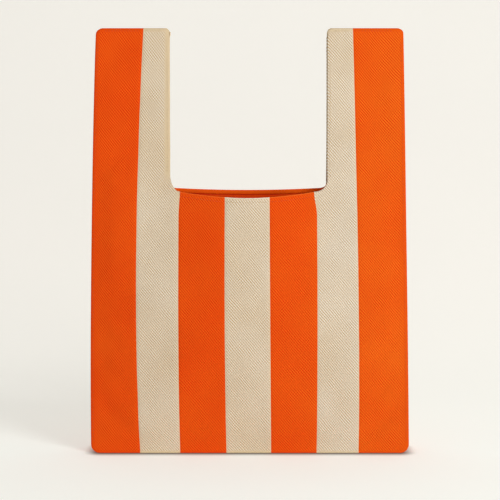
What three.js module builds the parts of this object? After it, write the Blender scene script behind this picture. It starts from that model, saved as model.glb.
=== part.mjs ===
// Vest-shaped fabric carrier bag: seven sewn stripes on each face, side walls, a flat base, an orange
// lining, and two closed handle loops that grow out of the shoulders.
//
// Millimetres. +X is the viewer's right, -Y is the front, +Z is up. The origin is on the floor under
// the middle of the bag. Each face is drawn once for the front, and mirrored in Y for the back.
import * as THREE from 'three';

// ---------------------------------------------------------------- driving dimensions

const HEIGHT = 537;             // floor to the top of the handles
const NECK = 334;               // floor to the armpits, where the handles leave the body
const FOLD_HALF = 12.5;         // half the height of the soft band that bends at the foot of a handle
const FOLD_TOP = NECK + 2 * FOLD_HALF;

// Stripe edges from left to right: x at the foot, at mid height and at the top of the bag.
const STRIPE_EDGES = [
  [-202, -201, -194],
  [-139.5, -143.5, -134],
  [-89, -90.5, -87.5],
  [-30, -32, -29],
  [27, 25, 24.5],
  [85, 85, 83.5],
  [138, 136, 129.5],
  [202, 198.5, 193],
];
const HANDLE_INNER = { left: -101.5, right: 97.5 }; // inner edges of the two handles
const ARMPIT_RADIUS = 10;       // the curve from a handle's inner edge into the rim

const FOOT_HALF_DEPTH = 22;     // half the depth of the side walls at the floor
const NECK_HALF_DEPTH = 12;     // and at the armpits and all the way up the handles
const BELLY = 14;               // how far the faces swell out in the middle
const MOUTH = 14;               // how far the rims stand apart beyond that, at their middles
const MOUTH_HALF_WIDTH = 96;
const SAG = { front: 10.5, back: 0.5 };           // how far each rim dips below the armpits

const FOOT_CORNER = 11;         // radii of the rounded corners of the outline
const HANDLE_OUTER_CORNER = 9;
const HANDLE_INNER_CORNER = 7;
const TOP_ROLL = 5;             // roll of the fabric over the top of a handle

const SHELL = 1.8;              // thicknesses
const STRAP = 3;                // the handles are two layers of shell fabric
const LINING = 1.2;
const FACING = 1;
const BOARD = 2;
const FACING_HEIGHT = 13;       // the hem band inside each rim
const GAP = 0.3;                // between sewn neighbours
const LINING_GAP = 0.6;         // between the shell and its lining
const JOINT_GAP = 0.8;          // between pieces that move past each other

// ---------------------------------------------------------------- materials

function fabric(color, roughness) {
  return new THREE.MeshStandardMaterial({ color, roughness, metalness: 0 });
}

const ORANGE = fabric(0xe2520f, 0.85);
const BEIGE = fabric(0xd7c2a7, 0.88);
const LINING_ORANGE = fabric(0xc93f0a, 0.8);
const BOARD_GREY = fabric(0x6a6a66, 0.6);

// ---------------------------------------------------------------- the shape of the bag

const { lerp, clamp } = THREE.MathUtils;

// x of a stripe edge at a height: the parabola through its three stated points.
function edgeX(index, z) {
  const [foot, middle, top] = STRIPE_EDGES[index];
  const h = z / HEIGHT;
  return foot * (1 - h) * (1 - 2 * h) + 4 * middle * h * (1 - h) + top * h * (2 * h - 1);
}

// x at a place counted in stripes from the left, so that 2.5 is the middle of the third stripe.
function stripeX(stripes, z) {
  const index = clamp(Math.floor(stripes), 0, 6);
  return lerp(edgeX(index, z), edgeX(index + 1, z), stripes - index);
}

// A handle's inner edge, with the armpit curve at its foot. Side is -1 for left and 1 for right.
function handleInnerX(side, z) {
  const x = side < 0 ? HANDLE_INNER.left : HANDLE_INNER.right;
  const below = clamp(ARMPIT_RADIUS - (z - NECK), 0, ARMPIT_RADIUS);
  return x - side * (ARMPIT_RADIUS - Math.sqrt(ARMPIT_RADIUS ** 2 - below ** 2));
}

// Half the depth of the bag at its side walls.
function sideHalfDepth(z) {
  const share = clamp(z / NECK, 0, 1);
  const eased = share * share * (3 - 2 * share);
  return lerp(FOOT_HALF_DEPTH, NECK_HALF_DEPTH, eased);
}

// Half the depth of the outer surface anywhere on a face.
function halfDepth(x, z) {
  const share = clamp(z / NECK, 0, 1);
  const belly = BELLY * (1 - (x / edgeX(7, 0)) ** 2) * Math.sin(Math.PI * share);
  const across = clamp(x / MOUTH_HALF_WIDTH, -1, 1);
  const mouth = MOUTH * (1 - across ** 2) ** 2 * share ** 2;
  return sideHalfDepth(z) + Math.max(belly, 0) + mouth;
}

// Height of the lower outline at x, with its rounded corners.
function footZ(x) {
  const past = Math.abs(x) - (edgeX(7, 0) - FOOT_CORNER);
  if (past <= 0) return 0;
  return FOOT_CORNER - Math.sqrt(Math.max(FOOT_CORNER ** 2 - past ** 2, 0));
}

// Height of a rim at x, between the armpits.
function rimZ(x, sag) {
  const middle = (HANDLE_INNER.left + HANDLE_INNER.right) / 2;
  const half = (HANDLE_INNER.right - HANDLE_INNER.left) / 2;
  return NECK - sag * (1 - clamp(((x - middle) / half) ** 2, 0, 1));
}

// How far a quarter circle has dropped at a distance from its tangent end.
function cornerDrop(distance, radius) {
  const into = clamp(radius - distance, 0, radius);
  return radius - Math.sqrt(radius ** 2 - into ** 2);
}

// ---------------------------------------------------------------- building blocks

// A panel is a box whose unit coordinates (across, through, up) are carried to their place.
function panel(name, material, columns, rows, place) {
  const geometry = new THREE.BoxGeometry(1, 1, 1, columns, 1, rows);
  const position = geometry.getAttribute('position');
  for (let i = 0; i < position.count; i++) {
    const across = position.getX(i) + 0.5;
    const through = position.getY(i) + 0.5;
    const up = position.getZ(i) + 0.5;
    position.setXYZ(i, ...place(across, through, up));
  }
  geometry.computeVertexNormals();
  const mesh = new THREE.Mesh(geometry, material);
  mesh.name = name;
  return mesh;
}

// The same place on the back face. Turning "through" round keeps the faces pointing out.
function mirrored(place) {
  return (across, through, up) => {
    const [x, y, z] = place(across, 1 - through, up);
    return [x, -y, z];
  };
}

// Column positions, as shares of a width, that follow a rounded corner at one end.
function cornerColumns(width, radius, atStart) {
  const steps = 4;
  const shares = [];
  for (let i = 0; i <= steps; i++) {
    shares.push((radius / width) * (1 - Math.cos((i / steps) * (Math.PI / 2))));
  }
  shares.push(0.6, 1);
  return atStart ? shares : shares.map((share) => 1 - share).reverse();
}

function stepped(stops, share) {
  return stops[Math.round(share * (stops.length - 1))];
}

const FACES = [
  { name: 'front', sag: SAG.front, turn: (place) => place },
  { name: 'back', sag: SAG.back, turn: mirrored },
];
const SIDES = [
  { name: 'left', sign: -1, outer: 0, inner: 1 },
  { name: 'right', sign: 1, outer: 7, inner: 6 },
];

// ---------------------------------------------------------------- outer shell

const PLAIN_COLUMNS = [0, 0.5, 1];
const FACE_ROWS = 10;

// One stripe of a face, from the floor to the neck or the rim. Stripes count from 1 at the left.
function stripe(face, number) {
  const orange = number % 2 === 1;
  const colour = orange ? 'orange' : 'beige';
  const leftGap = number === 3 ? JOINT_GAP : GAP;
  const rightGap = number === 5 ? JOINT_GAP : GAP;
  const isShoulder = number < 3 || number > 5;
  let columns = PLAIN_COLUMNS;
  if (number === 1) columns = cornerColumns(56, FOOT_CORNER, true);
  if (number === 7) columns = cornerColumns(62, FOOT_CORNER, false);

  const place = (across, through, up) => {
    const level = up * NECK;
    const left = edgeX(number - 1, level) + (number === 1 ? 0 : leftGap / 2);
    const right = edgeX(number, level) - (number === 7 ? 0 : rightGap / 2);
    const x = lerp(left, right, stepped(columns, across));
    const top = isShoulder ? NECK : rimZ(x, face.sag);
    const z = lerp(footZ(x), top, up);
    return [x, -halfDepth(x, z) + through * SHELL, z];
  };
  const name = `${face.name}_stripe_${number}_${colour}`;
  return panel(name, orange ? ORANGE : BEIGE, columns.length - 1, FACE_ROWS, face.turn(place));
}

// A side wall between the front and back stripes. It serves the body, and the handle above it.
function sideWall(name, side, bottom, top, thickness) {
  const place = (across, through, up) => {
    const z = lerp(bottom, top, up);
    const outer = edgeX(side.outer, z);
    const inner = outer - side.sign * thickness;
    const x = lerp(Math.min(outer, inner), Math.max(outer, inner), across);
    const reach = sideHalfDepth(z) - thickness - GAP;
    return [x, lerp(-reach, reach, through), z];
  };
  return panel(name, ORANGE, 1, 8, place);
}

// A shallow tray: flat along the floor, with both ends rolled up to meet the side walls.
function tray(name, material, inset, lift, radius, thickness) {
  const steps = 4;
  const stops = [];
  for (const sign of [-1, 1]) {
    for (let i = 0; i <= steps; i++) {
      const turn = sign < 0 ? steps - i : i;
      stops.push({ sign, angle: (turn / steps) * (Math.PI / 2) });
    }
  }
  const place = (across, through, up) => {
    const { sign, angle } = stepped(stops, across);
    const centreX = sign * (edgeX(7, 0) - inset - radius);
    const r = radius - up * thickness;
    const x = centreX + sign * r * Math.sin(angle);
    const z = lift + radius - r * Math.cos(angle);
    const reach = FOOT_HALF_DEPTH - SHELL - 2 * GAP;
    return [x, lerp(-reach, reach, through), z];
  };
  return panel(name, material, stops.length - 1, 1, place);
}

// ---------------------------------------------------------------- handles

// One strap strip: up the face, over a small roll, and along the top to the seam in the middle.
function strapStrip(face, side, orange) {
  const radius = orange ? HANDLE_OUTER_CORNER : HANDLE_INNER_CORNER;
  const cornerAtStart = (side.sign < 0) === orange;
  const columns = cornerColumns(orange ? 56 : 38, radius, cornerAtStart);
  const upright = 6;
  const roll = 3;
  const rows = upright + roll + 1;

  const place = (across, through, up) => {
    const row = Math.round(up * rows);
    const level = lerp(FOLD_TOP, HEIGHT, Math.min(row / upright, 1));
    const seam = edgeX(side.inner, level);
    const free = orange ? edgeX(side.outer, level) : handleInnerX(side.sign, level);
    const inset = orange ? 0 : side.sign * (GAP / 2);
    const seamX = seam + (orange ? side.sign * (GAP / 2) : -inset);
    const left = Math.min(seamX, free);
    const right = Math.max(seamX, free);
    const x = lerp(left, right, stepped(columns, across));
    const top = HEIGHT - cornerDrop(Math.abs(x - free), radius);
    const bend = clamp((row - upright) / roll, 0, 1) * (Math.PI / 2);
    const r = TOP_ROLL - through * STRAP;
    const rollY = -NECK_HALF_DEPTH + TOP_ROLL;
    const rollZ = top - TOP_ROLL;
    if (row < upright) return [x, rollY - r, lerp(FOLD_TOP, rollZ, row / upright)];
    if (row < rows) return [x, rollY - r * Math.cos(bend), rollZ + r * Math.sin(bend)];
    return [x, -GAP / 2, rollZ + r];
  };
  const name = `${side.name}_strap_${face.name}_${orange ? 'orange' : 'beige'}`;
  return panel(name, orange ? ORANGE : BEIGE, columns.length - 1, rows, face.turn(place));
}

// The bending band of the outer orange stripe at the foot of a handle: front leg, side and back leg.
function foldChannel(side) {
  const place = (across, through, up) => {
    const corner = Math.round(across * 3);
    const z = lerp(NECK + GAP, FOLD_TOP - GAP, up);
    const inward = side.sign < 0 ? 1 - through : through;
    const depth = NECK_HALF_DEPTH - inward * SHELL;
    const outer = edgeX(side.outer, z) - side.sign * inward * SHELL;
    const seam = edgeX(side.inner, z) + side.sign * (GAP / 2);
    const isLeg = corner === 0 || corner === 3;
    return [isLeg ? seam : outer, corner < 2 ? -depth : depth, z];
  };
  return panel(`${side.name}_fold_orange`, ORANGE, 3, 2, place);
}

// The bending band of a handle's beige stripe.
function foldStrip(face, side) {
  const place = (across, through, up) => {
    const z = lerp(NECK + GAP, FOLD_TOP - GAP, up);
    const seam = edgeX(side.inner, z) - side.sign * (GAP / 2);
    const free = handleInnerX(side.sign, z);
    const x = lerp(Math.min(seam, free), Math.max(seam, free), across);
    return [x, -NECK_HALF_DEPTH + through * SHELL, z];
  };
  return panel(`${side.name}_fold_${face.name}_beige`, BEIGE, 1, 6, face.turn(place));
}

// ---------------------------------------------------------------- lining

const LINING_FOOT = 13;         // the lining's walls stand just above its rolled-up floor
const LINING_INSET = SHELL + LINING_GAP;
const LINING_DROP = 1;          // how far its upper edge lies below the rim

// Heights of a lining panel's rows, in step with the shell's own rows.
function liningZ(up, top) {
  return clamp(up * top, LINING_FOOT, top - LINING_DROP);
}

// Places across the three middle stripes, in step with the shell's own columns.
function middleStripes(across) {
  return clamp(lerp(2, 5, across), 2.012, 4.988);
}

// The lining behind the three middle stripes of a face.
function middleLining(face) {
  const place = (across, through, up) => {
    const x = stripeX(middleStripes(across), up * NECK);
    const z = liningZ(up, rimZ(x, face.sag));
    return [x, -halfDepth(x, z) + LINING_INSET + through * LINING, z];
  };
  return panel(`${face.name}_lining`, LINING_ORANGE, 6, FACE_ROWS, face.turn(place));
}

// The hem band stitched inside the middle of a rim.
function facing(face) {
  const place = (across, through, up) => {
    const x = stripeX(middleStripes(across), NECK);
    const z = rimZ(x, face.sag) - LINING_DROP - (1 - up) * FACING_HEIGHT;
    const inset = LINING_INSET + LINING + GAP;
    return [x, -halfDepth(x, z) + inset + through * FACING, z];
  };
  return panel(`${face.name}_rim_facing`, LINING_ORANGE, 6, 1, face.turn(place));
}

// The lining of one side: behind two front stripes, round the side wall and behind two back ones.
function sideLining(side) {
  const leg = [1.512, 2, 2.5, 2.9, 3.3, 3.5].map((stripes) => 3.5 + side.sign * stripes);
  const stops = [...leg, ...leg.toReversed()];
  const place = (across, through, up) => {
    const stop = Math.round(across * (stops.length - 1));
    const z = liningZ(up, NECK);
    const inward = side.sign < 0 ? 1 - through : through;
    const isOuter = stops[stop] === side.outer;
    const wall = side.sign * (LINING_INSET + inward * LINING);
    const x = stripeX(stops[stop], z) - (isOuter ? wall : 0);
    const depth = halfDepth(x, z) - LINING_INSET - inward * LINING;
    return [x, stop < leg.length ? -depth : depth, z];
  };
  const columns = stops.length - 1;
  return panel(`${side.name}_lining`, LINING_ORANGE, columns, FACE_ROWS, place);
}

// ---------------------------------------------------------------- base board

// A stiff board with rounded corners, held between the base panel and the lining's floor.
function baseBoard() {
  const halfLength = 184;
  const halfWidth = FOOT_HALF_DEPTH - SHELL - 3;
  const radius = 6;
  const outline = new THREE.Shape();
  outline.moveTo(-halfLength + radius, -halfWidth);
  outline.lineTo(halfLength - radius, -halfWidth);
  outline.absarc(halfLength - radius, -halfWidth + radius, radius, -Math.PI / 2, 0);
  outline.absarc(halfLength - radius, halfWidth - radius, radius, 0, Math.PI / 2);
  outline.absarc(-halfLength + radius, halfWidth - radius, radius, Math.PI / 2, Math.PI);
  outline.absarc(-halfLength + radius, -halfWidth + radius, radius, Math.PI, 1.5 * Math.PI);
  const geometry = new THREE.ExtrudeGeometry(outline, {
    depth: BOARD,
    bevelEnabled: false,
    curveSegments: 4,
  });
  const mesh = new THREE.Mesh(geometry, BOARD_GREY);
  mesh.name = 'base_board';
  mesh.position.z = SHELL + GAP;
  return mesh;
}

// ---------------------------------------------------------------- assembly

const bag = new THREE.Group();

for (const face of FACES) {
  for (let number = 1; number <= 7; number++) bag.add(stripe(face, number));
  bag.add(middleLining(face), facing(face));
}

for (const side of SIDES) {
  const handle = new THREE.Group();
  for (const face of FACES) {
    handle.add(strapStrip(face, side, true), strapStrip(face, side, false));
    bag.add(foldStrip(face, side));
  }
  const strapTop = HEIGHT - HANDLE_OUTER_CORNER - TOP_ROLL - GAP;
  handle.add(sideWall(`${side.name}_strap_side`, side, FOLD_TOP, strapTop, STRAP));
  bag.add(handle);
  bag.add(sideWall(`${side.name}_side_wall`, side, FOOT_CORNER + GAP, NECK, SHELL));
  bag.add(foldChannel(side), sideLining(side));
}

bag.add(tray('base_panel', ORANGE, 0, 0, FOOT_CORNER, SHELL));
bag.add(baseBoard());
const floorLift = SHELL + BOARD + 2 * GAP;
bag.add(tray('lining_floor', LINING_ORANGE, LINING_INSET, floorLift, 8, LINING));

export default bag;
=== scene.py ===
"""Looks for the vest-shaped fabric carrier bag: sewn twill stripes, lining, hems, stitching and studio.

Lengths here are millimetres until a mesh is made. A face is written for the front, and mirrored in Y for
the back. "Depth" is how far a face's outer surface stands from the plane y = 0.
"""

import math

import bpy
import numpy as np
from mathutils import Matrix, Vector


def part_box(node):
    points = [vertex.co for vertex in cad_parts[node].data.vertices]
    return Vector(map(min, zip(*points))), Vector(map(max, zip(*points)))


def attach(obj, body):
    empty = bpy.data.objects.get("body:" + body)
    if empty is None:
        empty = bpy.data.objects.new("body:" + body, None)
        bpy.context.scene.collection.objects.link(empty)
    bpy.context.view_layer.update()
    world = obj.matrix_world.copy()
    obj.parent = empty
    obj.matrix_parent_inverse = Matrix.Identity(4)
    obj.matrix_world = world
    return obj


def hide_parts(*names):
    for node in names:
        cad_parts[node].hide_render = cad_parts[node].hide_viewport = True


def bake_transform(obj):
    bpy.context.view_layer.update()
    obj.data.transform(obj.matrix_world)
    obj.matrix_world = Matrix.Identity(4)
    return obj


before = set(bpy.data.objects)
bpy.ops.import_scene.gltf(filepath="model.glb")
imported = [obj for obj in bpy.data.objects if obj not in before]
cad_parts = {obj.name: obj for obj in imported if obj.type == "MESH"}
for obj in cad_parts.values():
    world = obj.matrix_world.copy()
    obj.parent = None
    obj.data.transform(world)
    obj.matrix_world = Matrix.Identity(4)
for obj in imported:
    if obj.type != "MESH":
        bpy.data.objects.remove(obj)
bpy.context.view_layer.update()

MM = 0.001
FRONT, BACK = -1, 1             # faces, as the sign of their Y
LEFT, RIGHT = -1, 1             # sides, as the sign of their X
FACE_NAME = {FRONT: "front", BACK: "back"}
SIDE_NAME = {LEFT: "left", RIGHT: "right"}
MIDDLE_NAME = {3: "left", 4: "middle", 5: "right"}    # the middle stripes, by number


# ---------------------------------------------------------------- sizes read from the frame

def cad_box(node):
    """Lowest and highest corners of a CAD node, in millimetres."""
    low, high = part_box(node)
    return np.array(low) / MM, np.array(high) / MM


def cad_points(node):
    return np.array([vertex.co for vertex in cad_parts[node].data.vertices]) / MM


def seam_curve(node, side):
    """x(z) of a stripe's left (-1) or right (+1) seam, as the parabola through that column of vertices."""
    points = cad_points(node)
    low, high = points[:, 0].min(), points[:, 0].max()
    quarter = (high - low) / 4
    near = points[:, 0] < low + quarter if side < 0 else points[:, 0] > high - quarter
    return np.poly1d(np.polyfit(points[near, 2], points[near, 0], 2))


def outline_curve(node, side):
    """x(z) of the bag's outer left (-1) or right (+1) edge, from the outer skin of a side wall."""
    points = cad_points(node)
    levels = np.unique(points[:, 2].round(1))
    edge = [side * (side * points[np.abs(points[:, 2] - z) < 0.2, 0]).max() for z in levels]
    return np.poly1d(np.polyfit(levels, edge, 2))


EDGES = [
    outline_curve("left_side_wall", -1),
    seam_curve("front_stripe_2_beige", -1),
    seam_curve("front_stripe_3_orange", -1),
    seam_curve("front_stripe_4_beige", -1),
    seam_curve("front_stripe_4_beige", 1),
    seam_curve("front_stripe_5_orange", 1),
    seam_curve("front_stripe_6_beige", 1),
    outline_curve("right_side_wall", 1),
]
HEIGHT = cad_box("left_strap_front_orange")[1][2]
NECK = cad_box("front_stripe_2_beige")[1][2]
HANDLE_EDGE = {
    LEFT: cad_box("left_strap_front_beige")[1][0],
    RIGHT: cad_box("right_strap_front_beige")[0][0],
}
HANDLE_HALF = cad_box("left_strap_front_orange")[1][1] - cad_box("left_strap_front_orange")[0][1]
WALL_INSET = 2.1                # the CAD side wall stops this short of the faces
FOOT_HALF = cad_box("left_side_wall")[1][1] + WALL_INSET
HALF_WIDTH = cad_box("base_panel")[1][0]

# ---------------------------------------------------------------- sizes of the cloth

BELLY = 14                      # swell of a face in the middle of the bag
MOUTH = 14                      # swell of the rims, beyond that
MOUTH_HALF = 96
RIM = {FRONT: (323.9, 7.7, 1.85), BACK: (333.6, 2.2, 2.0)}    # lowest point, rise to its ends, power
RIM_CENTRE, RIM_HALF = -3.5, 84
FOOT_CORNER = 11
OUTER_CORNER = {LEFT: 8.5, RIGHT: 7}    # radii of the top corners of the handles
INNER_CORNER = {LEFT: 8, RIGHT: 6}
EDGE_ROLL = 2.2                 # radius of the soft edge where a face turns into a wall
FOOT_ROLL = 1.5                 # and where it turns under the foot
TOPSTITCH = 3.6                 # distance of the stitching in from the outline
INNER_STITCH = 3.4              # and from the inner edges of the handles
HEM_STITCH = 6                  # and down from the rim
CLOTH = 2.2                     # thickness of the shell, seams and interlining included
LINING = 1.0
STEP = 4.5                      # usual mesh spacing
TWILL = 2.56                    # distance between twill ribs

INNER_EDGE = {                  # the left handle's back cloth is folded a little further under
    (FRONT, LEFT): HANDLE_EDGE[LEFT] + 0.7, (FRONT, RIGHT): HANDLE_EDGE[RIGHT],
    (BACK, LEFT): HANDLE_EDGE[LEFT] - 2, (BACK, RIGHT): HANDLE_EDGE[RIGHT],
}
SEAM_PULL = {LEFT: 1.4, RIGHT: 3.6}    # how far the front's shoulder seams pull in at the armpits
PULL_DEPTH, PULL_LENGTH = 22, 30       # how far below the rim that begins, and how far up it is complete
ARMPIT = {                      # rise of the curve from rim to handle, and how square it is
    (FRONT, LEFT): (22, 1.95), (FRONT, RIGHT): (15, 2.1),
    (BACK, LEFT): (6, 2.6), (BACK, RIGHT): (6, 2.6),
}


def smooth(t):
    t = np.clip(t, 0, 1)
    return t * t * (3 - 2 * t)


def corner_drop(distance, radius):
    """How far a quarter circle has dropped, at a distance in from its tangent end."""
    into = np.clip(radius - distance, 0, radius)
    return radius - np.sqrt(np.maximum(radius ** 2 - into ** 2, 0))


def side_half(z):
    return FOOT_HALF + (HANDLE_HALF - FOOT_HALF) * smooth(z / NECK)


def rim(face, x):
    low, rise, power = RIM[face]
    return low + rise * np.abs((x - RIM_CENTRE) / RIM_HALF) ** power


def roll_radius(z):
    return FOOT_ROLL + (EDGE_ROLL - FOOT_ROLL) * smooth(z / FOOT_CORNER)


def waves(seed, longest, shortest, count=14):
    """A smooth random field over (x, z): a sum of plane waves, about -1 to 1."""
    random = np.random.RandomState(seed)
    angle = random.uniform(0, 2 * np.pi, count)
    length = np.exp(random.uniform(np.log(shortest), np.log(longest), count))
    phase = random.uniform(0, 2 * np.pi, count)
    kx, kz = 2 * np.pi * np.cos(angle) / length, 2 * np.pi * np.sin(angle) / length

    def field(x, z):
        total = sum(np.sin(a * x + b * z + c) for a, b, c in zip(kx, kz, phase))
        return total / math.sqrt(count)
    return field


SOFT = {FRONT: waves(3, 150, 60), BACK: waves(8, 140, 50)}
FINE = {FRONT: waves(5, 40, 14), BACK: waves(6, 40, 14)}
PUCKER = waves(12, 16, 7)
drape = {FRONT: None, BACK: None}    # filled in by the cloth simulation


def outline_distance(x, z):
    """Distance in from the outer outline of a face, where it rolls over into the walls."""
    left, right = x - EDGES[0](z), EDGES[7](z) - x
    side = np.minimum(left, right)
    foot = np.where(
        (side < FOOT_CORNER) & (z < FOOT_CORNER),
        FOOT_CORNER - np.hypot(FOOT_CORNER - side, FOOT_CORNER - z),
        np.minimum(side, z))
    top = HEIGHT - z
    radius = np.where(x < 0, OUTER_CORNER[LEFT], OUTER_CORNER[RIGHT])
    crown = np.where(
        (side < radius) & (top < radius),
        radius - np.hypot(radius - side, radius - top),
        np.minimum(side, top))
    for handle in (LEFT, RIGHT):
        crown = np.minimum(crown, top - corner_drop(np.abs(x - HANDLE_EDGE[handle]), INNER_CORNER[handle]))
    return np.clip(np.minimum(foot, crown), 0, None)


def seam_valley(x, z):
    """The shallow groove where two stripes are sewn together, with a little pucker along it."""
    groove = np.zeros_like(x)
    for edge in EDGES[1:7]:
        distance = x - edge(z)
        groove += np.exp(-(distance / 1.6) ** 2) * 0.42
        groove -= np.exp(-((np.abs(distance) - 4.5) / 3) ** 2) * 0.12 * (1 + PUCKER(x * 0.3, z))
    return groove


def hem(face, x, z):
    """A hem along the rim: doubled cloth above a line of stitching."""
    below = rim(face, x) - z
    thick = 0.35 * smooth((below + 0.5) / 2) * (1 - smooth((below - 5) / 1.5))
    pinch = 0.35 * np.exp(-((below - HEM_STITCH) / 1.1) ** 2)
    within = smooth((x - HANDLE_EDGE[LEFT]) / 6) * smooth((HANDLE_EDGE[RIGHT] - x) / 6)
    return (thick - pinch) * within * (z < NECK + 6)


def draped(face, x, z):
    """Extra depth from the cloth simulation, read off its grid."""
    if drape[face] is None:
        return np.zeros_like(x)
    grid = drape[face]
    across = np.clip((x - EDGES[0](z)) / (EDGES[7](z) - EDGES[0](z)), 0, 1) * (grid.shape[0] - 1)
    up = np.clip(z / HEIGHT, 0, 1) * (grid.shape[1] - 1)
    i = np.minimum(across.astype(int), grid.shape[0] - 2)
    j = np.minimum(up.astype(int), grid.shape[1] - 2)
    fi, fj = smooth(across - i), smooth(up - j)
    low = grid[i, j] * (1 - fi) + grid[i + 1, j] * fi
    high = grid[i, j + 1] * (1 - fi) + grid[i + 1, j + 1] * fi
    return low * (1 - fj) + high * fj


def plain_depth(x, z):
    """Depth of a face as a smooth, unwrinkled form."""
    share = np.clip(z / NECK, 0, 1)
    belly = BELLY * np.maximum(1 - (x / HALF_WIDTH) ** 2, 0) * np.sin(np.pi * share)
    across = np.clip(x / MOUTH_HALF, -1, 1)
    mouth = MOUTH * (1 - across ** 2) ** 2 * share ** 2
    return side_half(z) + belly + mouth


def face_depth(face, x, z, detail=True):
    x, z = np.asarray(x, float), np.asarray(z, float)
    inward = outline_distance(x, z)
    inside = smooth(inward / 30)
    depth = plain_depth(x, z) - corner_drop(inward, roll_radius(z))
    depth += inside * (0.9 * SOFT[face](x, z) + draped(face, x, z))
    if detail:
        depth += smooth(inward / 8) * (hem(face, x, z) - seam_valley(x, z) + 0.13 * FINE[face](x, z))
    return depth


def inner_edge(face, side, z):
    """x of a shoulder stripe's inner side: its seam up to the rim, then the armpit curve, then the handle."""
    foot = armpit(face, side)
    start, handle = stripe_seam(face, side, foot), INNER_EDGE[face, side]
    height, power = ARMPIT[face, side]
    rise = np.clip((z - foot) / height, 0, 1)
    curve = start + (handle - start) * (1 - (1 - rise) ** power) ** (1 / power)
    return np.where(z <= foot, stripe_seam(face, side, z), curve)


def stripe_seam(face, side, z):
    """x of the seam between a shoulder and the middle stripes. At the front it pulls in at the armpits."""
    edge = EDGES[2] if side == LEFT else EDGES[5]
    pull = SEAM_PULL[side] * smooth((z - RIM[FRONT][0] + PULL_DEPTH) / PULL_LENGTH) if face == FRONT else 0
    return edge(z) - side * pull


def armpit(face, side):
    """Height where the rim meets a shoulder stripe."""
    return float(rim(face, stripe_seam(face, side, RIM[face][0] + 6)))


def armpit_curve(face, side):
    """Shares across and heights of an armpit curve's points, from the rim up to the handle's inner edge."""
    height, power = ARMPIT[face, side]
    angle = np.radians(np.arange(0, 91, 9))
    return np.sin(angle) ** (2 / power), height * (1 - np.maximum(np.cos(angle), 0) ** (2 / power))


# ---------------------------------------------------------------- meshes

# Distances in from an edge of a grid, closer together where the cloth rolls over.
ROLL_STEPS = EDGE_ROLL * (1 - np.cos(np.radians([0, 18, 36, 54, 72, 90])))
FOOT_STEPS = np.array([0, 0.07, 0.28, 0.6, 1.0, 1.5, 2.4, 4])
RAW_STEPS = np.array([0, 0.2, 0.6, 1.2, 2.2])
SEAM_STEPS = np.array([0, 0.7, 1.5, 2.6, 4.2])
REACH = 40                      # how far from the foot and the top the rounded corners shear the grid


def lines(start, end, first, last, step=STEP):
    """Positions from start to end: given steps in from each end, and even steps between them."""
    head, tail = start + np.asarray(first), end - np.asarray(last)[::-1]
    count = max(int(round((tail[0] - head[-1]) / step)), 1)
    middle = np.linspace(head[-1], tail[0], count + 1)[1:-1]
    return np.concatenate([head, middle, tail])


def along(points, axis):
    """Running length along a grid's axis."""
    pieces = np.linalg.norm(np.diff(points, axis=axis), axis=2)
    start = np.zeros_like(np.take(pieces, [0], axis=axis))
    return np.cumsum(np.concatenate([start, pieces], axis=axis), axis=axis)


def grid_normals(points):
    """Normals of a grid along du x dv: the mean of the cells round each point."""
    rising = points[1:, 1:] - points[:-1, :-1]
    falling = points[:-1, 1:] - points[1:, :-1]
    cells = np.cross(rising, falling)
    cells /= np.maximum(np.linalg.norm(cells, axis=2, keepdims=True), 1e-12)
    normal = np.zeros_like(points)
    for i in (0, 1):
        for j in (0, 1):
            normal[i:i + cells.shape[0], j:j + cells.shape[1]] += cells
    return normal / np.maximum(np.linalg.norm(normal, axis=2, keepdims=True), 1e-9)


def rounding(distance, amount, radius):
    into = np.clip(radius - distance, 0, radius)
    return amount * 0.94 * (radius - np.sqrt(radius ** 2 - into ** 2))


def path_distance(points, path):
    """Distance from each point of a grid to a path, seen along Y."""
    flat, path = points[:, :, [0, 2]], path[:, [0, 2]]
    best = np.full(flat.shape[:2], np.inf)
    for a, b in zip(path[:-1], path[1:]):
        size = max(float((b - a) @ (b - a)), 1e-9)
        share = np.clip(((flat - a) @ (b - a)) / size, 0, 1)
        nearest = a + share[..., None] * (b - a)
        best = np.minimum(best, np.linalg.norm(flat - nearest, axis=2))
    return best


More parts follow.
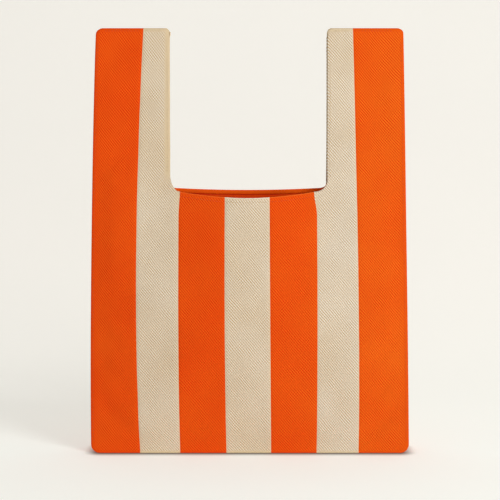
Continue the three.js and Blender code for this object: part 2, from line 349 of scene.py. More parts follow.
def slab(points, thickness, rounds, outward, anchor=0, hand=1, flatness_and_painted_light=None, raw=None, upright=None):
    """A closed sheet of cloth. points is a grid of its outer side; rounds says how far each edge is rounded.

    rounds holds amounts from 0 to 1 for the edges u first, u last, v first, v last, as numbers or arrays.
    outward is 1 if du x dv points out of the bag, else -1. The weave runs true to the column named by anchor,
    and hand is -1 where u runs leftwards seen from outside. The plainness argument marks where the weave is
    pressed flat; on the hem bands it carries painted light and shade, and along the top of the rim a painted
    highlight. raw is the distance from a free edge that doesn't follow the grid, and upright is how far to
    take the cloth's thickness straight along Y, for cells too thin to give a steady normal.
    Returns vertices, quads, cloth coordinates and plainness.
    """
    normal = grid_normals(points) * outward
    if upright is not None:
        straight = np.array([0, 1, 0]) * np.sign(points[..., 1:2])
        normal = normal * (1 - upright[..., None]) + straight * upright[..., None]
        normal /= np.linalg.norm(normal, axis=2, keepdims=True)
    radius = thickness / 2
    across, up = along(points, 0), along(points, 1)
    amounts = [np.asarray(amount, float) for amount in rounds]
    drop = np.maximum.reduce([
        rounding(across, amounts[0], radius),
        rounding(across[-1:] - across, amounts[1], radius),
        rounding(up, amounts[2].reshape(-1, 1), radius),
        rounding(up[:, -1:] - up, amounts[3].reshape(-1, 1), radius),
        rounding(np.full_like(up, radius) if raw is None else raw, 1, radius),
    ])[..., None]
    outer = points - normal * drop
    inner = points - normal * (thickness - drop)
    nu, nv = points.shape[:2]
    index = np.arange(nu * nv).reshape(nu, nv)
    far = index + nu * nv

    def quads(a, b, c, d):
        return np.stack([a.ravel(), b.ravel(), c.ravel(), d.ravel()], axis=1)
    faces = np.concatenate([
        quads(index[:-1, :-1], index[1:, :-1], index[1:, 1:], index[:-1, 1:]),
        quads(far[:-1, :-1], far[:-1, 1:], far[1:, 1:], far[1:, :-1]),
        quads(index[1:, 0], index[:-1, 0], far[:-1, 0], far[1:, 0]),
        quads(index[:-1, -1], index[1:, -1], far[1:, -1], far[:-1, -1]),
        quads(index[0, :-1], index[0, 1:], far[0, 1:], far[0, :-1]),
        quads(index[-1, 1:], index[-1, :-1], far[-1, :-1], far[-1, 1:]),
    ])
    if outward < 0:
        faces = faces[:, ::-1]
    weft = along(points[:, :, :2], 0)
    weft = (weft - weft[anchor] + points[anchor, 0, 0]) * hand
    warp = along(points[:, :, 1:], 1) + points[:, :1, 2]
    cloth = np.stack([weft, warp], axis=2).reshape(-1, 2)
    vertices = np.concatenate([outer.reshape(-1, 3), inner.reshape(-1, 3)])
    pressed_and_painted_light = np.zeros(nu * nv) if flatness_and_painted_light is None else flatness_and_painted_light.ravel()
    return vertices, faces, np.concatenate([cloth, cloth]), np.concatenate([pressed_and_painted_light, pressed_and_painted_light])


def stitches(path, normals, material, length=2.7, gap=1.3, width=0.55, height=0.3):
    """Short raised threads along a path of points, each dipping into the cloth at both ends."""
    run = np.concatenate([[0], np.cumsum(np.linalg.norm(np.diff(path, axis=0), axis=1))])
    count = int((run[-1] - gap) // (length + gap))
    if count < 1:
        return []
    sides = 6
    shares = np.array([0, 0.12, 0.5, 0.88, 1])
    lift = np.array([-0.5, 0.55, 1, 0.55, -0.5])
    girth = np.array([0.35, 0.9, 1, 0.9, 0.35])
    vertices, faces = [], []
    for k in range(count):
        start = gap + k * (length + gap)
        at = start + shares * length
        centre = np.stack([np.interp(at, run, path[:, c]) for c in range(3)], axis=1)
        normal = np.stack([np.interp(at, run, normals[:, c]) for c in range(3)], axis=1)
        tangent = centre[-1] - centre[0]
        tangent /= np.linalg.norm(tangent)
        base = len(vertices) * sides * len(shares)
        rings = []
        for c, n, up, size in zip(centre, normal, lift, girth):
            across = np.cross(tangent, n)
            across /= np.linalg.norm(across)
            angle = np.arange(sides) / sides * 2 * np.pi
            ring = (c + n * up * height
                    + np.outer(np.cos(angle), across) * width / 2 * size
                    + np.outer(np.sin(angle), n) * width / 2 * size)
            rings.append(ring)
        vertices.append(np.concatenate(rings))
        for r in range(len(shares) - 1):
            for s in range(sides):
                a, b = base + r * sides + s, base + r * sides + (s + 1) % sides
                faces.append((a, a + sides, b + sides, b))
        last = base + (len(shares) - 1) * sides
        faces.append(tuple(base + s for s in range(sides)))
        faces.append(tuple(last + s for s in reversed(range(sides))))
    points = np.concatenate(vertices)
    return [(points, faces, points[:, [0, 2]], np.zeros(len(points)), material)]


def build(name, slot, nodes, *parts):
    """A piece in place of CAD nodes. Each part is vertices, faces, cloth coordinates, plainness, material."""
    vertices, faces, cloth, pressed_and_painted_light, slots, materials = [], [], [], [], [], []
    for points, quads, uv, flatness_and_painted_light, material in parts:
        base = sum(len(p) for p in vertices)
        if material not in materials:
            materials.append(material)
        faces += [tuple(int(i) + base for i in quad) for quad in quads]
        slots += [materials.index(material)] * len(quads)
        vertices.append(points)
        cloth.append(uv)
        pressed_and_painted_light.append(flatness_and_painted_light)
    points, cloth = np.concatenate(vertices), np.concatenate(cloth)
    mesh = bpy.data.meshes.new(name)
    mesh.from_pydata((points * MM).tolist(), [], faces)
    mesh.validate()
    layer = mesh.uv_layers.new(name="cloth")
    corners = np.empty(len(mesh.loops), np.int32)
    mesh.loops.foreach_get("vertex_index", corners)
    layer.data.foreach_set("uv", (cloth[corners] * MM).astype(np.float32).ravel())
    mesh.attributes.new("flatness_and_painted_light", "FLOAT", "POINT").data.foreach_set(
        "value", np.concatenate(pressed_and_painted_light).astype(np.float32))
    mesh.polygons.foreach_set("material_index", slots)
    mesh.polygons.foreach_set("use_smooth", [True] * len(mesh.polygons))
    mesh.set_sharp_from_angle(angle=math.radians(62))
    for material in materials:
        mesh.materials.append(material)
    piece = bpy.data.objects.new(f"{name}_cloth", mesh)
    bpy.context.scene.collection.objects.link(piece)
    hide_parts(*nodes)
    return piece


# ---------------------------------------------------------------- cloth simulation

BILLOW = 5                      # the most that the simulation may move the cloth in or out


def simulate_face(face):
    """Lets one whole face hang and billow from its outline, and returns the depth that adds, as a grid."""
    columns, rows, last_frame = 57, 76, 24
    s = np.linspace(0, 1, columns)[:, None]
    z = np.linspace(0, HEIGHT, rows)[None, :] * np.ones((columns, 1))
    x = EDGES[0](z) + s * (EDGES[7](z) - EDGES[0](z))
    y = face * plain_depth(x, z)
    points = np.stack([x, y, z], axis=2)
    in_gap = (x > HANDLE_EDGE[LEFT] + 2) & (x < HANDLE_EDGE[RIGHT] - 2) & (z > rim(face, x) + 4)
    index = np.full((columns, rows), -1)
    index[~in_gap] = np.arange((~in_gap).sum())
    quads = np.stack([index[:-1, :-1], index[1:, :-1], index[1:, 1:], index[:-1, 1:]], axis=2).reshape(-1, 4)
    quads = quads[(quads >= 0).all(axis=1)]
    mesh = bpy.data.meshes.new("cage")
    mesh.from_pydata((points[~in_gap] * MM).tolist(), [], quads.tolist())
    cage = bpy.data.objects.new("cage", mesh)
    bpy.context.scene.collection.objects.link(cage)
    held = (s * np.ones_like(z) < 0.004) | (s * np.ones_like(z) > 0.996) | (z < 5) | (z > NECK + 35)
    group = cage.vertex_groups.new(name="held")
    group.add([int(i) for i in index[held & ~in_gap]], 1, "REPLACE")

    cloth = cage.modifiers.new("cloth", "CLOTH")
    settings = cloth.settings
    settings.vertex_group_mass = "held"
    settings.quality = 6
    settings.mass = 0.25
    settings.tension_stiffness = 25
    settings.compression_stiffness = 25
    settings.shear_stiffness = 12
    settings.bending_stiffness = 6
    settings.air_damping = 4
    settings.shrink_min = -0.006
    cloth.collision_settings.use_collision = False
    cloth.collision_settings.use_self_collision = False
    scene = bpy.context.scene
    scene.gravity = (0, face * 3, -9.8)
    cloth.point_cache.frame_start, cloth.point_cache.frame_end = 1, last_frame
    for step in range(1, last_frame + 1):
        scene.frame_set(step)
        bpy.context.view_layer.update()
    settled = cage.evaluated_get(bpy.context.evaluated_depsgraph_get()).to_mesh()
    moved = np.array([vertex.co[1] for vertex in settled.vertices]) / MM * face
    scene.frame_set(1)
    bpy.data.objects.remove(cage)

    extra = np.zeros((columns, rows))
    extra[~in_gap] = moved - np.abs(y[~in_gap])
    for j in range(1, rows):
        gap = in_gap[:, j]
        extra[gap, j] = extra[gap, j - 1]
    return BILLOW * np.tanh(extra / (1.2 * BILLOW))


# ---------------------------------------------------------------- materials

class Nodes:
    """Small helper for wiring a material."""

    def __init__(self, name):
        self.material = bpy.data.materials.new(name)
        self.material.use_nodes = True
        self.tree = self.material.node_tree
        self.shader = self.tree.nodes["Principled BSDF"]

    def put(self, socket, value):
        if isinstance(value, bpy.types.NodeSocket):
            self.tree.links.new(value, socket)
        else:
            socket.default_value = value

    def node(self, kind, inputs=(), output=0, **settings):
        made = self.tree.nodes.new(kind)
        for key, value in settings.items():
            setattr(made, key, value)
        for key, value in dict(inputs).items():
            self.put(made.inputs[key], value)
        return made.outputs[output]

    def math(self, operation, a, b=0.0, clamp=False):
        return self.node("ShaderNodeMath", {0: a, 1: b}, operation=operation, use_clamp=clamp)

    def scaled(self, value, factor, offset=0.0, clamp=False):
        """value * factor + offset"""
        return self.node("ShaderNodeMath", {0: value, 1: factor, 2: offset},
                         operation="MULTIPLY_ADD", use_clamp=clamp)

    def vector(self, operation, a, b=(0, 0, 0), output=0):
        return self.node("ShaderNodeVectorMath", {0: a, 1: b}, output, operation=operation)

    def sized(self, vector, factor):
        return self.node("ShaderNodeVectorMath", {0: vector, "Scale": factor}, operation="SCALE")

    def ramp(self, value, low, high):
        """A smooth step from 0 at low to 1 at high."""
        return self.node("ShaderNodeMapRange", {0: value, 1: low, 2: high}, interpolation_type="SMOOTHSTEP")

    def noise(self, vector, scale, detail=2.0):
        return self.node("ShaderNodeTexNoise", {"Vector": vector, "Scale": scale, "Detail": detail})

    def mix(self, factor, a, b):
        return self.node("ShaderNodeMix", {0: factor, 6: a, 7: b}, output=2, data_type="RGBA")

    def split(self, vector):
        """A vector's parts, as sockets X, Y and Z."""
        parts = self.tree.nodes.new("ShaderNodeSeparateXYZ")
        self.put(parts.inputs[0], vector)
        return parts.outputs

    def position(self):
        return self.node("ShaderNodeTexCoord", output=3)

    def surface(self, colour, roughness, height, strength, distance, specular=0.5):
        """Sets the shader, with a bump from height, and returns the material."""
        bump = self.node("ShaderNodeBump", {"Height": height, "Strength": strength, "Distance": distance})
        for name, value in (("Base Color", colour), ("Roughness", roughness),
                            ("Specular IOR Level", specular), ("Normal", bump)):
            self.put(self.shader.inputs[name], value)
        return self.material


def linear(red, green, blue):
    """Linear colour from sRGB bytes."""
    def channel(value):
        value /= 255
        return value / 12.92 if value <= 0.04045 else ((value + 0.055) / 1.055) ** 2.4
    return channel(red), channel(green), channel(blue), 1.0


def cloth_coordinates(n):
    """Cloth coordinates in millimetres: across and along the piece."""
    vector = n.sized(n.node("ShaderNodeUVMap", uv_map="cloth"), 1 / MM)
    across, up, _ = n.split(vector)
    return vector, across, up


def twill(name, dark, light, fleck_and_rim_highlight, pressed_and_painted_light, rightward_tint):
    """Diagonal twill. Ribs fall from left to right at 50 degrees; in patches the crossing threads show too.

    The last argument is a tint that multiplies the colour, more and more towards the bag's right side.
    """
    n = Nodes(name)
    vector, u, v = cloth_coordinates(n)
    turn = 2 * math.pi / TWILL
    cos, sin = math.cos(math.radians(50)) * turn, math.sin(math.radians(50)) * turn
    drift = n.scaled(n.noise(vector, 0.03), 7, -3.5)
    weft, warp = n.scaled(u, sin), n.scaled(v, cos)
    rib = n.math("COSINE", n.math("ADD", n.math("ADD", weft, warp), drift))
    cross = n.math("COSINE", n.math("ADD", n.math("SUBTRACT", weft, warp), drift))
    flatness_and_painted_light = n.node("ShaderNodeAttribute", output=2, attribute_name="flatness_and_painted_light")
    woven = n.scaled(flatness_and_painted_light, -1, 1, clamp=True)
    patch = n.scaled(n.noise(vector, 0.07, 1.0), 2.6, -0.8, clamp=True)
    rib_weight = n.math("MULTIPLY", n.scaled(patch, 0.42, 0.14), woven)
    elsewhere = n.vector("ADD", vector, (300, 300, 300))
    cross_patch = n.scaled(n.noise(elsewhere, 0.06, 1.0), 4, -2.1, clamp=True)
    cross_weight = n.math("MULTIPLY", n.scaled(cross_patch, 0.3, 0.04), woven)
    swing = n.math("ADD", n.math("MULTIPLY", rib, rib_weight), n.math("MULTIPLY", cross, cross_weight))
    fibre = n.scaled(n.noise(vector, 1.4, 3.0), 0.5, -0.25)
    broad = n.scaled(n.noise(vector, 0.012), 0.4, 0.3)
    tone = n.math("ADD", n.math("ADD", swing, broad), fibre, clamp=True)
    colour = n.mix(tone, dark, light)
    # pressed cloth goes towards a warmer mid colour: real pressed weave, with painted warm bounce light in
    # its warmth
    colour = n.mix(n.math("MINIMUM", n.scaled(flatness_and_painted_light, 0.6), 0.6), colour, pressed_and_painted_light)
    # plainness over 1, along the top of the rim, takes the fleck colour: a painted highlight
    colour = n.mix(n.scaled(flatness_and_painted_light, 0.9, -0.9, clamp=True), colour, fleck_and_rim_highlight)
    speck = n.math("GREATER_THAN", n.noise(vector, 0.9, 2.0), 0.7)
    colour = n.mix(n.scaled(speck, 0.3), colour, fleck_and_rim_highlight)
    rightward = n.ramp(n.split(n.position())[0], -0.03, 0.21)
    colour = n.mix(rightward, colour, n.vector("MULTIPLY", colour, rightward_tint))
    height = n.math("ADD", n.math("MULTIPLY", rib, woven), n.scaled(n.noise(vector, 1.0, 4.0), 0.8))
    height = n.math("ADD", height, n.math("MULTIPLY", cross, cross_weight))
    return n.surface(colour, n.scaled(tone, 0.12, 0.82), height, 0.35, 0.0002, specular=0.06)


def plain_weave(name, dark, light, pitch=1.1):
    """Plain weave: a fine check of threads. Its plainness attribute carries painted light: over 0 it is
    brighter, a painted highlight on the hem band's roll, and under 0 it is darker, painted shade in the
    groove.
    """
    n = Nodes(name)
    vector, u, v = cloth_coordinates(n)
    warp = n.math("SINE", n.math("MULTIPLY", u, 2 * math.pi / pitch))
    weft = n.math("SINE", n.math("MULTIPLY", v, 2 * math.pi / pitch))
    weave = n.math("MULTIPLY", warp, weft)
    cloud = n.math("SUBTRACT", n.noise(vector, 0.04, 3.0), 0.5)
    flatness_and_painted_light = n.node("ShaderNodeAttribute", output=2, attribute_name="flatness_and_painted_light")
    tone = n.math("ADD", n.math("MULTIPLY", weave, 0.25), n.math("MULTIPLY", cloud, 0.5))
    # plainness over 0 lifts the tone: painted highlight
    tone = n.math("ADD", tone, n.scaled(flatness_and_painted_light, 0.5, 0.35), clamp=True)
    colour = n.mix(tone, dark, light)
    # plainness under 0 darkens the colour: painted shade
    colour = n.sized(colour, n.scaled(flatness_and_painted_light, 0.3, 1, clamp=True))
    height = n.math("ADD", weave, n.math("MULTIPLY", n.noise(vector, 0.8, 3.0), 0.6))
    return n.surface(colour, n.scaled(cloud, 0.2, 0.72), height, 0.5, 0.00015, specular=0.08)


def thread(name, dark, light):
    """Twisted sewing thread."""
    n = Nodes(name)
    twist = n.node("ShaderNodeTexWave", {"Vector": n.position(), "Scale": 900.0, "Distortion": 1.0},
                   output=1, bands_direction="DIAGONAL")
    return n.surface(n.mix(twist, dark, light), 0.6, twist, 0.4, 0.00008)


def fibre_board(name, dark, light):
    n = Nodes(name)
    grain = n.noise(n.position(), 240.0, 6.0)
    return n.surface(n.mix(grain, dark, light), n.scaled(grain, 0.3, 0.6), grain, 0.4, 0.0002)


# each twill: dark and light rib tones, a fleck colour that also paints the rim's highlight, a pressed colour
# warmed by painted bounce light, and a tint towards the right
ORANGE = twill("orange_twill", linear(217, 34, 3), linear(241, 103, 20), linear(250, 110, 36),
               linear(225, 68, 6), (1, 1.38, 1.5))
BEIGE = twill("beige_twill", linear(190, 156, 108), linear(236, 226, 211), linear(242, 232, 214),
              linear(219, 194, 154), (1, 1.03, 1.08))
LINING_CLOTH = plain_weave("orange_lining", linear(208, 28, 2), linear(255, 100, 12))
ORANGE_THREAD = thread("orange_thread", linear(196, 62, 10), linear(230, 90, 22))
BEIGE_THREAD = thread("beige_thread", linear(196, 170, 138), linear(226, 206, 178))
BOARD = fibre_board("stiffener_board", linear(84, 84, 80), linear(126, 126, 120))


def dye(number):
    """Cloth, thread and colour of a stripe."""
    return (ORANGE, ORANGE_THREAD, "orange") if number % 2 else (BEIGE, BEIGE_THREAD, "beige")


def place(face, x, z):
    """Points on a face."""
    return np.stack([x, face * face_depth(face, x, z), z], axis=-1)


def face_normals(face, path):
    """Outward normals of a face at points on it."""
    x, z, h = path[:, 0], path[:, 2], 0.8
    dx = (face_depth(face, x + h, z, False) - face_depth(face, x - h, z, False)) / (2 * h)
    dz = (face_depth(face, x, z + h, False) - face_depth(face, x, z - h, False)) / (2 * h)
    normal = np.stack([-dx, np.full_like(dx, face), -dz], axis=1)
    return normal / np.linalg.norm(normal, axis=1, keepdims=True)


def face_stitches(face, x, z, material):
    path = place(face, x, z)
    return stitches(path, face_normals(face, path), material)


def face_plain(face, x, z):
    """Where the weave is pressed flat: along the bag's outline, its seams and the left handle's inner hem."""
    inward = outline_distance(x, z)
    flatness_and_painted_light = 1 - smooth((inward - 2.6) / 1.2)
    flatness_and_painted_light = np.maximum(flatness_and_painted_light, 0.55 * (1 - smooth((inward - 3) / 11)) * (np.abs(x) > 190))
    for edge in EDGES[1:7]:
        flatness_and_painted_light = np.maximum(flatness_and_painted_light, 0.7 * (1 - smooth((np.abs(x - edge(z)) - 0.8) / 1.2)))
    hem_left = 1 - smooth((HANDLE_EDGE[LEFT] - x - 4.5) / 2.5)
    on_handle = smooth((z - NECK - 6) / 20) * (x < 0)
    return np.maximum(flatness_and_painted_light, hem_left * on_handle)


# ---------------------------------------------------------------- shell

def centre_stripe(face, number):
    """Stripes 3, 4 and 5, from the foot to the rim."""
    cloth, sewing, colour = dye(number)
    left, right = EDGES[number - 1], EDGES[number]
    width = float(right(NECK / 2) - left(NECK / 2))
    u = lines(0, width, SEAM_STEPS, SEAM_STEPS) / width
    top = float(rim(face, RIM_CENTRE))
    v = lines(0, top, FOOT_STEPS, [0, 0.25, 0.7, 1.4, 2.6, 4, 5, 6, 7, 8.5]) / top
    level = v[None, :] * top
    x = left(level) + u[:, None] * (right(level) - left(level))
    z = v[None, :] * rim(face, x)
    if number == 3:
        x = x + (stripe_seam(face, LEFT, z) - left(z)) * (1 - u[:, None]) ** 2
    if number == 5:
        x = x + (stripe_seam(face, RIGHT, z) - right(z)) * u[:, None] ** 2
    z = v[None, :] * rim(face, x)
    points = place(face, x, z)
    flatness_and_painted_light = face_plain(face, x, z)
    # up to 2 along the top of the rim, where the twill paints a highlight
    flatness_and_painted_light = np.maximum(flatness_and_painted_light, 2 * (1 - smooth((rim(face, x) - z - 0.9) / 1.2)))
    made = slab(points, CLOTH, (0, 0, 0, 1), -face, hand=-face, flatness_and_painted_light=flatness_and_painted_light)
    seam_x = np.linspace(x[0, -1] + 1, x[-1, -1] - 1, 60)
    seam = face_stitches(face, seam_x, rim(face, seam_x) - HEM_STITCH, sewing)
    name = f"{FACE_NAME[face]}_stripe_{number}_{colour}"
    return build(name, f"{colour}_twill", [name], (*made, cloth), *seam)


def shoulder_stripe(face, number):
    """Stripes 1, 2, 6 and 7, from the foot up one side of a handle and over to its top seam."""
    cloth, sewing, colour = dye(number)
    side = LEFT if number < 4 else RIGHT
    outer = number in (1, 7)
    armpit_z = armpit(face, side)
    curve = armpit_z + armpit_curve(face, side)[1]
    top_steps = np.concatenate([ROLL_STEPS, [6, 8.5]])
    nominal = np.concatenate([
        lines(0, armpit_z, FOOT_STEPS, [0, 0.25, 0.7, 1.4, 2.6]),
        curve[1:],
        lines(curve[-1], HEIGHT, [0], top_steps)[1:],
    ])
    width = float(EDGES[number](NECK / 2) - EDGES[number - 1](NECK / 2))
    outline_steps = np.concatenate([ROLL_STEPS, [6, 8.5, 11]])
    ends = {
        1: (outline_steps, SEAM_STEPS), 2: (SEAM_STEPS, RAW_STEPS),
        6: (RAW_STEPS, SEAM_STEPS), 7: (SEAM_STEPS, outline_steps),
    }[number]
    offsets = lines(0, width, *ends)
    u = offsets / width
    edge_left = EDGES[number - 1](nominal) if number != 6 else inner_edge(face, side, nominal)
    edge_right = EDGES[number](nominal) if number != 2 else inner_edge(face, side, nominal)
    x = edge_left[None, :] + u[:, None] * (edge_right - edge_left)[None, :]

    free = offsets if number in (1, 6) else width - offsets
    foot = corner_drop(free, FOOT_CORNER)[:, None] if outer else 0
    drop = corner_drop(free, OUTER_CORNER[side] if outer else INNER_CORNER[side])[:, None]
    level = nominal[None, :]
    z = np.where(level < REACH, foot + level * (REACH - foot) / REACH, level)
    high = HEIGHT - REACH
    z = np.where(level > high, high + (level - high) * (REACH - drop) / REACH, z)
    upright = place(face, x, z)

    seam_rows = np.array([0.35, 0.7, 0.93, 1.0])
    over = np.repeat(upright[:, -1:, :], len(seam_rows), axis=1)
    over[:, :, 1] = upright[:, -1:, 1] * (1 - seam_rows[None, :]) + face * 0.05 * seam_rows[None, :]
    over[:, :, 2] += 0.5 * np.sin(np.pi * seam_rows)[None, :] - 0.35 * (seam_rows == 1)[None, :]
    points = np.concatenate([upright, over], axis=1)
    flatness_and_painted_light = face_plain(face, points[:, :, 0], points[:, :, 2])
    raw = steady = None
    if not outer:
        edge = points[-1 if number == 2 else 0, nominal.searchsorted(armpit_z):]
        raw = path_distance(points, edge)
        steady = (1 - smooth(raw / 6)) * (points[..., 2] < armpit_z + REACH)
    made = slab(points, CLOTH, (0, 0, 0, 0), -face, 0 if number in (2, 7) else -1, -face, flatness_and_painted_light, raw, steady)
    parts = [(*made, cloth)]

    if outer:
        rise = np.linspace(FOOT_CORNER + 3, HEIGHT - 14, 400)
        edge = EDGES[0 if side == LEFT else 7](rise)
        parts += face_stitches(face, edge - side * TOPSTITCH, rise, sewing)
    else:
        rise = np.linspace(curve[-1] + 2, HEIGHT - 12, 150)
        parts += face_stitches(face, inner_edge(face, side, rise) + side * INNER_STITCH, rise, sewing)
    margin = 10 if outer else 8
    start = x[0, -1] + (margin if number in (1, 6) else 1)
    end = x[-1, -1] - (margin if number in (2, 7) else 1)
    across = np.linspace(start, end, 60)
    parts += face_stitches(face, across, np.full_like(across, HEIGHT - TOPSTITCH), sewing)

    name = f"{FACE_NAME[face]}_stripe_{number}_{colour}"
    strap = f"{SIDE_NAME[side]}_strap_{FACE_NAME[face]}_{colour}"
    fold = f"{SIDE_NAME[side]}_fold_orange" if outer else f"{SIDE_NAME[side]}_fold_{FACE_NAME[face]}_beige"
    return build(name, f"{colour}_twill", [name, strap, fold], *parts)


def side_wall(side):
    """A side wall, from the foot corner up to the crown of the handle, drawn in a little along its middle."""
    edge = EDGES[0 if side == LEFT else 7]
    v = lines(FOOT_CORNER, HEIGHT - OUTER_CORNER[side], SEAM_STEPS, SEAM_STEPS)
    u = np.linspace(-1, 1, 13)
    half = side_half(v) - EDGE_ROLL
    y = u[:, None] * half[None, :]
    z = np.ones_like(u)[:, None] * v[None, :]
    body = smooth((z - 20) / 90) * (1 - smooth((z - NECK + 60) / 60))
    tuck = (1 - u[:, None] ** 2) * (0.8 + 4.5 * body) * smooth((z - FOOT_CORNER) / 20)
    tuck = tuck + 0.5 * SOFT[FRONT](y * 3 + 500 * side, z) * (1 - u[:, None] ** 4) * smooth((z - 15) / 30)
    groove = 0.35 * np.exp(-((1 - np.abs(u[:, None])) * half[None, :] / 1.2) ** 2)
    x = edge(z) - side * (tuck + groove)
    points = np.stack([x, y, z], axis=2)
    made = slab(points, CLOTH, (0, 0, 0, 0), side, anchor=6, hand=side)
    nodes = [f"{SIDE_NAME[side]}_{part}" for part in ("side_wall", "strap_side", "fold_orange")]
    return build(nodes[0], "orange_twill", nodes, (*made, ORANGE))


def tray(name, inset, lift, radius, thickness, material, slot, half):
    """A floor that rolls up at both ends to meet the side walls. half(z) is half its depth at a height."""
    corner = np.radians(np.linspace(90, 0, 9))
    straight = np.linspace(-(HALF_WIDTH - inset - radius), HALF_WIDTH - inset - radius, 91)
    x = np.concatenate([straight[0] - radius * np.sin(corner[:-1]), straight,
                        straight[-1] + radius * np.sin(corner[::-1][1:])])
    z = np.concatenate([radius - radius * np.cos(corner[:-1]), np.zeros(91),
                        radius - radius * np.cos(corner[::-1][1:])])
    y = lines(-FOOT_HALF, FOOT_HALF, SEAM_STEPS, SEAM_STEPS, 5)
    points = np.empty((len(x), len(y), 3))
    points[:, :, 0], points[:, :, 2] = x[:, None], (z + lift)[:, None]
    points[:, :, 1] = y[None, :] / FOOT_HALF * half(z)[:, None]
    made = slab(points, thickness, (0, 0, 0, 0), -1)
    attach(build(name, slot, [name], (*made, material)), "bag_body")


# ---------------------------------------------------------------- lining

LINING_INSET = CLOTH + 0.5
LAP = 3                         # how far the side linings lap over the edges of the middle ones
SIDE_LINING_TOP = 338           # just below where the handles begin to bend
SIDE_LINING_DROP = 5.5          # how far below the rim the side linings end beside it
FACING = 1.5                    # thickness of the hem band
HEM_BAND = 14                   # its height; the middle linings hang from just above its lower edge
HEM_EDGE = 5.6                  # height of the roll along the top of the hem band
HEM_LAP = 0.45                  # how far the back's hem band rolls over the top of the cloth
BAND_STITCH = 11                # distance of the hem band's own stitching below the rim
PAINTED_LIGHT_END = 0.9                 # painted light that brightens the hem band towards the right end of the back rim, where the right handle shades it


def lining_panel(face, number):
    """The lining behind one of the three middle stripes."""
    left, right = EDGES[number - 1], EDGES[number]
    width = float(right(NECK / 2) - left(NECK / 2))
    u = lines(0, width, [0, 2, 4], [0, 2, 4]) / width
    top = float(rim(face, RIM_CENTRE))
    v = lines(8, top, [0, 2], [0, 0.5, 1, 2, 4, 7]) / top
    level = v[None, :] * top
    x = left(level) + u[:, None] * (right(level) - left(level))
    z = v[None, :] * (rim(face, x) - HEM_BAND + 1)
    depth = face_depth(face, x, z, False) - LINING_INSET
    points = np.stack([x, face * depth, z], axis=2)
    made = slab(points, LINING, (0, 0, 0, 1), -face)
    whole = f"{FACE_NAME[face]}_lining"
    return build(f"{whole}_{MIDDLE_NAME[number]}", "orange_lining", [whole], (*made, LINING_CLOTH))


def facing_rows(face):
    """Distances of a hem band's rows down from the edge: close at the top, and closest at the groove."""
    rows = [HEM_BAND, 13.2, 11.5, 9.5, 8, 7.4, 6.9, 6.3, 5.9, 5.6, 5.2, 4.6, 3.8, 3, 2.2, 1.4, 0.8, 0.4, 0.2]
    return np.array(rows) - (HEM_LAP if face == BACK else 0)


def facing_painted_light(down):
    """Painted highlight along the roll, painted shade in the groove under it."""
    groove = (down >= HEM_EDGE - 0.1) & (down < HEM_EDGE + 1)
    return np.where(down < HEM_EDGE - 0.1, 1.1, 0.15) - 0.75 * groove


def facing_inset(down):
    """How far the hem band's inner side is from the outside of the bag: a roll, a groove, a flat band."""
    roll = 0.5 * np.sqrt(np.clip(1 - ((down - 2.7) / 2.9) ** 2, 0, 1))
    groove = 0.5 * np.exp(-((down - HEM_EDGE - 0.4) / 0.6) ** 2)
    return CLOTH - 0.4 + FACING + roll - groove


def rim_facing(face, number):
    """The hem band inside the rim: a rolled edge, a groove, and a flat band stitched below it."""
    left, right = EDGES[number - 1], EDGES[number]
    width = float(right(NECK) - left(NECK))
    u = lines(0, width, [0, 2, 4], [0, 2, 4]) / width
    down = facing_rows(face)
    x = left(NECK) + u[:, None] * (right(NECK) - left(NECK)) + 0 * down[None, :]
    z = rim(face, x) - down[None, :]
    depth = face_depth(face, x, z, False) - facing_inset(down)[None, :]
    points = np.stack([x, face * depth, z], axis=2)
    # painted highlight and shade on the hem band, and more painted light towards the right end of the back
    # rim
    shade = facing_painted_light(down) + PAINTED_LIGHT_END * u[:, None] ** 2 * (number == 5 and face == BACK)
    made = slab(points, FACING, (0, 0, 1, 1), face, flatness_and_painted_light=shade)
    seam_x = np.linspace(x[0, 0], x[-1, 0], 40)
    seam_z = rim(face, seam_x) - BAND_STITCH
    seam_depth = face_depth(face, seam_x, seam_z, False) - facing_inset(BAND_STITCH) - 0.25
    path = np.stack([seam_x, face * seam_depth, seam_z], axis=1)
    seam = stitches(path, -face_normals(face, path), ORANGE_THREAD)
    whole = f"{FACE_NAME[face]}_rim_facing"
    return build(f"{whole}_{MIDDLE_NAME[number]}", "orange_lining", [whole], (*made, LINING_CLOTH), *seam)


def armpit_facing(face, side):
    """The hem band carried on round the armpit, from the end of the rim up to the handle's inner edge."""
    foot = armpit(face, side)
    start = float(stripe_seam(face, side, foot))
    width = INNER_EDGE[face, side] - start
    share, rise = armpit_curve(face, side)
    x, z = start + width * share, foot + rise
    across, up = np.gradient(x), np.gradient(z)
    down_x, down_z = side * up, -side * across
    size = np.hypot(down_x, down_z)
    down_x, down_z = down_x / size, down_z / size
    down = facing_rows(face)[1:]
    x = x[:, None] + down_x[:, None] * down
    z = z[:, None] + down_z[:, None] * down
    depth = face_depth(face, x, z, False) - facing_inset(down)[None, :]
    points = np.stack([x, face * depth, z], axis=2)
    # painted highlight and shade on the hem band; at the back's right armpit, painted light brightens all of
    # it
    shade = facing_painted_light(down) + PAINTED_LIGHT_END * np.ones_like(x) * (face == BACK and side == RIGHT)
    made = slab(points, FACING, (0, 1, 1, 1), face * side, flatness_and_painted_light=shade)
    name = f"{FACE_NAME[face]}_{SIDE_NAME[side]}_armpit_facing"
    return build(name, "orange_lining", [f"{FACE_NAME[face]}_rim_facing"], (*made, LINING_CLOTH))


def side_lining_top(face, side, x):
    """Height of the side lining's upper edge: just below the rim, then rising beside the armpit."""
    foot = armpit(face, side)
    beyond = side * (x - stripe_seam(face, side, foot))
    low = foot - SIDE_LINING_DROP
    return low + (SIDE_LINING_TOP - low) * smooth((beyond - 3) / 15)


